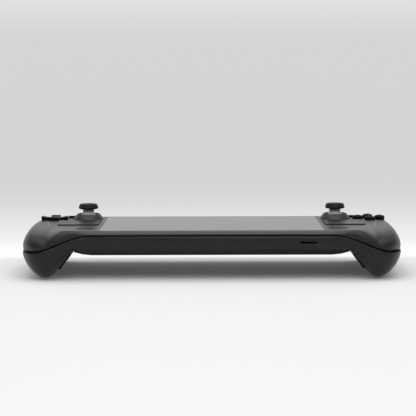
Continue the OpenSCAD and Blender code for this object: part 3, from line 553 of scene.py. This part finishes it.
def object_place(tree):
    return put(tree, "TexCoord").outputs["Object"]


def noise(tree, place, **sockets):
    return put(tree, "TexNoise", Vector=place, **sockets).outputs["Fac"]


def roughen(tree, shader, height, strength, depth):
    bump = put(tree, "Bump", Height=height, Strength=strength, Distance=depth)
    feed(tree, shader.inputs["Normal"], bump.outputs["Normal"])


def worn_and_highlit_edges(tree, radius, spots):
    """1 along rubbed edges, which also carry a painted edge highlight, 0 on the flats."""
    bevel = put(tree, "Bevel", Radius=radius)
    bevel.samples = 4
    plain = put(tree, "NewGeometry").outputs["Normal"]
    bend = calc(tree, "DOT_PRODUCT", bevel.outputs["Normal"], plain, kind="VectorMath")
    edge = ranged(tree, bend, 0.99, 0.8, 0.0, 1.0)
    return calc(tree, "MULTIPLY", edge, ranged(tree, spots, 0.4, 0.65, 0.15, 1.0))


# Materials, with lengths in metres
def moulded(name, dark, light, worn_and_highlit, rough, grain, depth, **sockets):
    """Moulded plastic or rubber: cloudy tone, fine grain and lighter edges, partly rubbed wear and partly
    a painted edge highlight.
    """
    material, tree, shader = new_material(name, **sockets)
    place = object_place(tree)
    cloud = noise(tree, place, Scale=45.0, Detail=5.0, Roughness=0.6)
    fine = noise(tree, place, Scale=grain, Detail=3.0, Roughness=0.65)
    tone = colour_mix(tree, ranged(tree, cloud, 0.3, 0.7, 0.0, 1.0), dark, light)
    # Edges lightened for rubbed wear and as a painted edge highlight
    edges = worn_and_highlit_edges(tree, 0.5 * MM, cloud)
    feed(tree, shader.inputs["Base Color"], colour_mix(tree, edges, tone, worn_and_highlit))
    gloss = calc(tree, "ADD", ranged(tree, fine, 0.25, 0.75, rough - 0.06, rough + 0.06),
                 ranged(tree, cloud, 0.3, 0.7, -0.04, 0.04))
    feed(tree, shader.inputs["Roughness"], gloss)
    roughen(tree, shader, fine, 0.35, depth)
    return material


def shell_material():
    """Housing plastic, painted paler along the bevel in front of the screen as a painted sheen."""
    material = moulded("shell", grey(0.0105, 0.1), grey(0.0135, 0.1), grey(0.02, 0.05), 0.32, 2600.0,
                       0.00009, Specular_IOR_Level=0.25)
    tree = material.node_tree
    colour = tree.nodes["Principled BSDF"].inputs["Base Color"]
    parts = put(tree, "SeparateXYZ", Vector=object_place(tree))
    across = calc(tree, "ABSOLUTE", parts.outputs["X"])
    # Mask of the bevel band in front of the screen, which gets a painted sheen
    beside = ranged(tree, across, 92 * MM, 110 * MM, 1.0, 0.0)
    in_front = ranged(tree, parts.outputs["Y"], -50.2 * MM, -50.8 * MM, 0.0, 1.0)
    above = ranged(tree, parts.outputs["Z"], 35.0 * MM, 35.6 * MM, 0.0, 1.0)
    bevel = calc(tree, "MULTIPLY", calc(tree, "MULTIPLY", beside, in_front), above)
    plain = colour.links[0].from_socket
    # Painted sheen: the bevel band's base colour is mixed toward a paler grey
    feed(tree, colour, colour_mix(tree, bevel, plain, grey(0.075, 0.1)))
    return material


def metal(name, dark, light, rough, stretch):
    """Bare metal with a drawn or brushed grain along one axis."""
    material, tree, shader = new_material(name, Metallic=1.0)
    place = object_place(tree)
    drawn = put(tree, "Mapping", Vector=place, Scale=stretch).outputs["Vector"]
    lines = noise(tree, drawn, Scale=1.0, Detail=4.0, Roughness=0.6)
    cloud = noise(tree, place, Scale=120.0, Detail=4.0)
    tone = colour_mix(tree, ranged(tree, cloud, 0.3, 0.7, 0.0, 1.0), dark, light)
    feed(tree, shader.inputs["Base Color"], tone)
    feed(tree, shader.inputs["Roughness"], ranged(tree, lines, 0.3, 0.7, rough - 0.08, rough + 0.1))
    roughen(tree, shader, lines, 0.2, 0.00003)
    return material


def glass_material():
    """Cover glass over a dark screen, with faint smears and a blacker printed border."""
    material, tree, shader = new_material("glass", IOR=1.6)
    place = object_place(tree)
    parts = put(tree, "SeparateXYZ", Vector=place)
    blur = 0.2 * MM
    sides = []
    for axis, middle, half in (("X", 0.0, 76.0 * MM), ("Y", 2.0 * MM, 47.5 * MM)):
        away = calc(tree, "ABSOLUTE", calc(tree, "SUBTRACT", parts.outputs[axis], middle))
        sides.append(ranged(tree, away, half - blur, half + blur, 1.0, 0.0))
    screen = calc(tree, "MULTIPLY", *sides)
    feed(tree, shader.inputs["Base Color"], colour_mix(tree, screen, grey(0.0025), grey(0.006, 0.1)))
    smears = noise(tree, place, Scale=22.0, Detail=6.0, Roughness=0.6, Distortion=1.2)
    feed(tree, shader.inputs["Roughness"], ranged(tree, smears, 0.35, 0.7, 0.03, 0.08))
    return material


def stick_material():
    """Satin skirt, with the paler neck that shows under the thumb cap; the neck is painted darker towards
    its top as painted shadow of the cap.
    """
    material, tree, shader = new_material("stick")
    place = object_place(tree)
    cloud = noise(tree, place, Scale=90.0, Detail=5.0)
    fine = noise(tree, place, Scale=3200.0, Detail=2.0)
    parts = put(tree, "SeparateXYZ", Vector=place)
    across = calc(tree, "ABSOLUTE", parts.outputs["X"])
    offset = put(tree, "CombineXYZ", X=across, Y=parts.outputs["Y"]).outputs["Vector"]
    axis = (STICK.x * MM, STICK.y * MM, 0.0)
    neck = ranged(tree, calc(tree, "DISTANCE", offset, axis, kind="VectorMath"),
                  7.8 * MM, 7.6 * MM, 0.0, 1.0)
    skirt = colour_mix(tree, cloud, grey(0.02, 0.12), grey(0.027, 0.12))
    foot = colour_mix(tree, cloud, (0.45, 0.435, 0.4, 1.0), (0.52, 0.5, 0.46, 1.0))
    # Painted shadow of the thumb cap: the neck turns darker towards its top
    height = ranged(tree, parts.outputs["Z"], 43.4 * MM, 45.4 * MM, 0.0, 1.0)
    neck_with_painted_shadow = colour_mix(tree, height, foot, (0.13, 0.125, 0.115, 1.0))
    feed(tree, shader.inputs["Base Color"], colour_mix(tree, neck, skirt, neck_with_painted_shadow))
    feed(tree, shader.inputs["Roughness"], ranged(tree, cloud, 0.3, 0.7, 0.34, 0.44))
    roughen(tree, shader, fine, 0.25, 0.00004)
    return material


def board_material():
    """Green solder mask over copper tracks."""
    material, tree, shader = new_material("board")
    place = object_place(tree)
    bricks = put(tree, "TexBrick", Vector=place, Scale=260.0, Mortar_Size=0.03, Mortar_Smooth=0.4)
    tracks = bricks.outputs["Fac"]
    cloud = noise(tree, place, Scale=160.0, Detail=4.0)
    mask = colour_mix(tree, cloud, (0.012, 0.06, 0.03, 1.0), (0.02, 0.09, 0.045, 1.0))
    feed(tree, shader.inputs["Base Color"], colour_mix(tree, tracks, mask, (0.06, 0.13, 0.05, 1.0)))
    feed(tree, shader.inputs["Roughness"], ranged(tree, cloud, 0.3, 0.7, 0.3, 0.45))
    roughen(tree, shader, tracks, 0.3, 0.00004)
    return material


def display_material():
    """The switched-off screen: fine square cells, nearly black."""
    material, tree, shader = new_material("display")
    place = object_place(tree)
    cells = put(tree, "TexBrick", Vector=place, Scale=4000.0, Mortar_Size=0.04).outputs["Fac"]
    cloud = noise(tree, place, Scale=30.0)
    feed(tree, shader.inputs["Base Color"], colour_mix(tree, cells, grey(0.008, 0.3), grey(0.004)))
    feed(tree, shader.inputs["Roughness"], ranged(tree, cloud, 0.3, 0.7, 0.25, 0.35))
    return material


materials = {
    "shell": shell_material(),
    "glass": glass_material(),
    "display": display_material(),
    "rubber": moulded("rubber", grey(0.02), grey(0.028), grey(0.04), 0.7, 1800.0, 0.00005),
    "grip_rubber": moulded("grip_rubber", grey(0.006), grey(0.009), grey(0.014), 0.55, 2200.0, 0.00012,
                           Specular_IOR_Level=0.25),
    "stick": stick_material(),
    "button": moulded("button", grey(0.0025), grey(0.0035), grey(0.006), 0.42, 3000.0, 0.00003,
                      Specular_IOR_Level=0.12),
    "paddle": moulded("paddle", grey(0.009), grey(0.012), grey(0.018), 0.42, 2600.0, 0.00009,
                      Specular_IOR_Level=0.25),
    "trackpad": moulded("trackpad", grey(0.0125, 0.08), grey(0.015, 0.08), grey(0.018), 0.36, 4200.0,
                        0.00004, Specular_IOR_Level=0.25),
    # Pale tone of the raised line: a painted highlight along the crease
    "highlight_bead": moulded("highlight_bead", grey(0.2), grey(0.24), grey(0.26), 0.25, 2600.0, 0.00002),
    # Near-black sides of the trackpads: painted shade
    "shaded_pad_edge": moulded("shaded_pad_edge", grey(0.0015), grey(0.002), grey(0.003), 0.6, 2600.0, 0.00004,
                        Specular_IOR_Level=0.05),
    "inner_plastic": moulded("inner_plastic", grey(0.02), grey(0.03), grey(0.05), 0.5, 2400.0, 0.00006),
    "board": board_material(),
    "battery": moulded("battery", grey(0.05), grey(0.065), grey(0.1), 0.4, 900.0, 0.00008),
    "alloy": metal("alloy", grey(0.5), grey(0.58), 0.42, (400.0, 2600.0, 2600.0)),
    "steel": metal("steel", grey(0.55), grey(0.62), 0.3, (2600.0, 400.0, 2600.0)),
    "copper": metal("copper", (0.66, 0.32, 0.18, 1.0), (0.75, 0.4, 0.24, 1.0), 0.3,
                    (300.0, 2400.0, 2400.0)),
}
finish_and_shade = dict(node_slot)
# The card socket takes the black button material as painted shade inside its slot
finish_and_shade.update({"home_button": "trackpad", "quick_button": "trackpad", "card_socket": "button"})
for node, piece in shown.items():
    piece.data.materials.clear()
    piece.data.materials.append(materials[finish_and_shade[node]])
for highlight_bead in highlight_beads:
    highlight_bead.data.materials.append(materials["highlight_bead"])
# The steep sides of the trackpads are painted nearly black, darker than their tops, as painted shade
# along the pads' edges
for node in ("left_trackpad", "right_trackpad"):
    shown[node].data.materials.append(materials["shaded_pad_edge"])
    for face in shown[node].data.polygons:
        face.material_index = int(abs(face.normal.z) < 0.6)


# Light, in metres and watts
def area_lamp(name, place, aim, size, power):
    data = bpy.data.lights.new(name, "AREA")
    data.shape = "RECTANGLE"
    data.size, data.size_y = size
    data.energy = power
    lamp = bpy.data.objects.new(name, data)
    lamp.location = place
    lamp.rotation_euler = (Vector(aim) - Vector(place)).to_track_quat("-Z", "Y").to_euler()
    bpy.context.scene.collection.objects.link(lamp)


def mix_shaders(tree, factor, first, second, output):
    both = put(tree, "MixShader", Fac=factor)
    tree.links.new(first, both.inputs[1])
    tree.links.new(second, both.inputs[2])
    tree.links.new(both.outputs["Shader"], tree.nodes[output].inputs["Surface"])


area_lamp("softbox_front", (0.0, -0.9, 1.15), (0, 0, 0), (2.4, 1.3), 12.5)
area_lamp("softbox_back", (0.0, 0.25, 1.25), (0, 0, 0), (1.4, 0.8), 5.7)
world = bpy.data.worlds.new("studio")
bpy.context.scene.world = world
world.use_nodes = True
sky = world.node_tree
around = sky.nodes["Background"]
toward = put(sky, "SeparateXYZ", Vector=put(sky, "TexCoord").outputs["Generated"]).outputs["Y"]
feed(sky, around.inputs["Strength"], ranged(sky, toward, -0.6, 0.4, 0.4, 0.45))
around.inputs["Color"].default_value = (1.0, 1.0, 1.0, 1.0)
seen = put(sky, "Background", Color=(0.68, 0.68, 0.67, 1.0), Strength=1.0)
mix_shaders(sky, put(sky, "LightPath").outputs["Is Camera Ray"], around.outputs["Background"],
            seen.outputs["Background"], "World Output")
bpy.context.scene.view_settings.view_transform = "Standard"


# Floor that sweeps up far behind the console, in metres
FLOOR_HALF_W = 5.0
FLOOR_NEAR = -4.0
SWEEP_START = 1.2
SWEEP_R = 0.8
SWEEP_TOP = 1.1
SWEEP_STEPS = 12
# Tones of the white background by its depth, as a share of the sweep's depth
FALL_START = (0.065, (0.99, 0.99, 0.98, 1.0))
FALL_END = (1.0, (0.67, 0.67, 0.66, 1.0))
FALL_TONES = ((0.112, 0.88), (0.17, 0.81), (0.28, 0.71), (0.38, 0.67), (0.6, 0.66))


def sweep():
    profile = [(FLOOR_NEAR, 0.0), (-1.0, 0.0), (0.0, 0.0), (0.4, 0.0), (SWEEP_START, 0.0)]
    for k in range(1, SWEEP_STEPS + 1):
        a = math.radians(90 * k / SWEEP_STEPS)
        profile.append((SWEEP_START + SWEEP_R * math.sin(a), SWEEP_R * (1 - math.cos(a))))
    profile.append((SWEEP_START + SWEEP_R, SWEEP_TOP))
    mesh = bpy.data.meshes.new("sweep")
    verts = [(x, y, z) for y, z in profile for x in (-FLOOR_HALF_W, FLOOR_HALF_W)]
    faces = [(2 * i, 2 * i + 1, 2 * i + 3, 2 * i + 2) for i in range(len(profile) - 1)]
    mesh.from_pydata(verts, [], faces)
    mesh.shade_smooth()
    obj = bpy.data.objects.new("sweep", mesh)
    bpy.context.scene.collection.objects.link(obj)
    return obj


def backdrop_material():
    """Pale floor that takes the shadow; further back it is a plain white that falls off to grey."""
    material, tree, shader = new_material("backdrop", Base_Color=(0.9, 0.895, 0.885, 1.0), Roughness=0.9,
                                          Specular_IOR_Level=0.2)
    parts = put(tree, "SeparateXYZ", Vector=object_place(tree))
    depth = parts.outputs["Y"]
    fall = put(tree, "ValToRGB", Fac=ranged(tree, depth, 0.0, SWEEP_START + SWEEP_R, 0.0, 1.0))
    stops = fall.color_ramp.elements
    for stop, (position, tone) in zip(stops, (FALL_START, FALL_END)):
        stop.position, stop.color = position, tone
    for position, tone in FALL_TONES:
        stops.new(position).color = (tone, tone, tone * 0.985, 1.0)
    above = ranged(tree, parts.outputs["Z"], 0.24, 0.5, 0.0, 1.0)
    tone = colour_mix(tree, above, fall.outputs["Color"], (1.0, 1.0, 0.99, 1.0))
    glow = put(tree, "Emission", Color=tone, Strength=1.0)
    rays = put(tree, "LightPath")
    seen_by = rays.outputs["Is Camera Ray"]
    for ray in ("Is Glossy Ray", "Is Transmission Ray"):
        seen_by = calc(tree, "MAXIMUM", seen_by, rays.outputs[ray])
    share = calc(tree, "MULTIPLY", seen_by, ranged(tree, depth, 0.07, 0.09, 0.055, 1.0))
    mix_shaders(tree, share, shader.outputs["BSDF"], glow.outputs["Emission"], "Material Output")
    return material


floor = sweep()
floor.data.materials.append(backdrop_material())
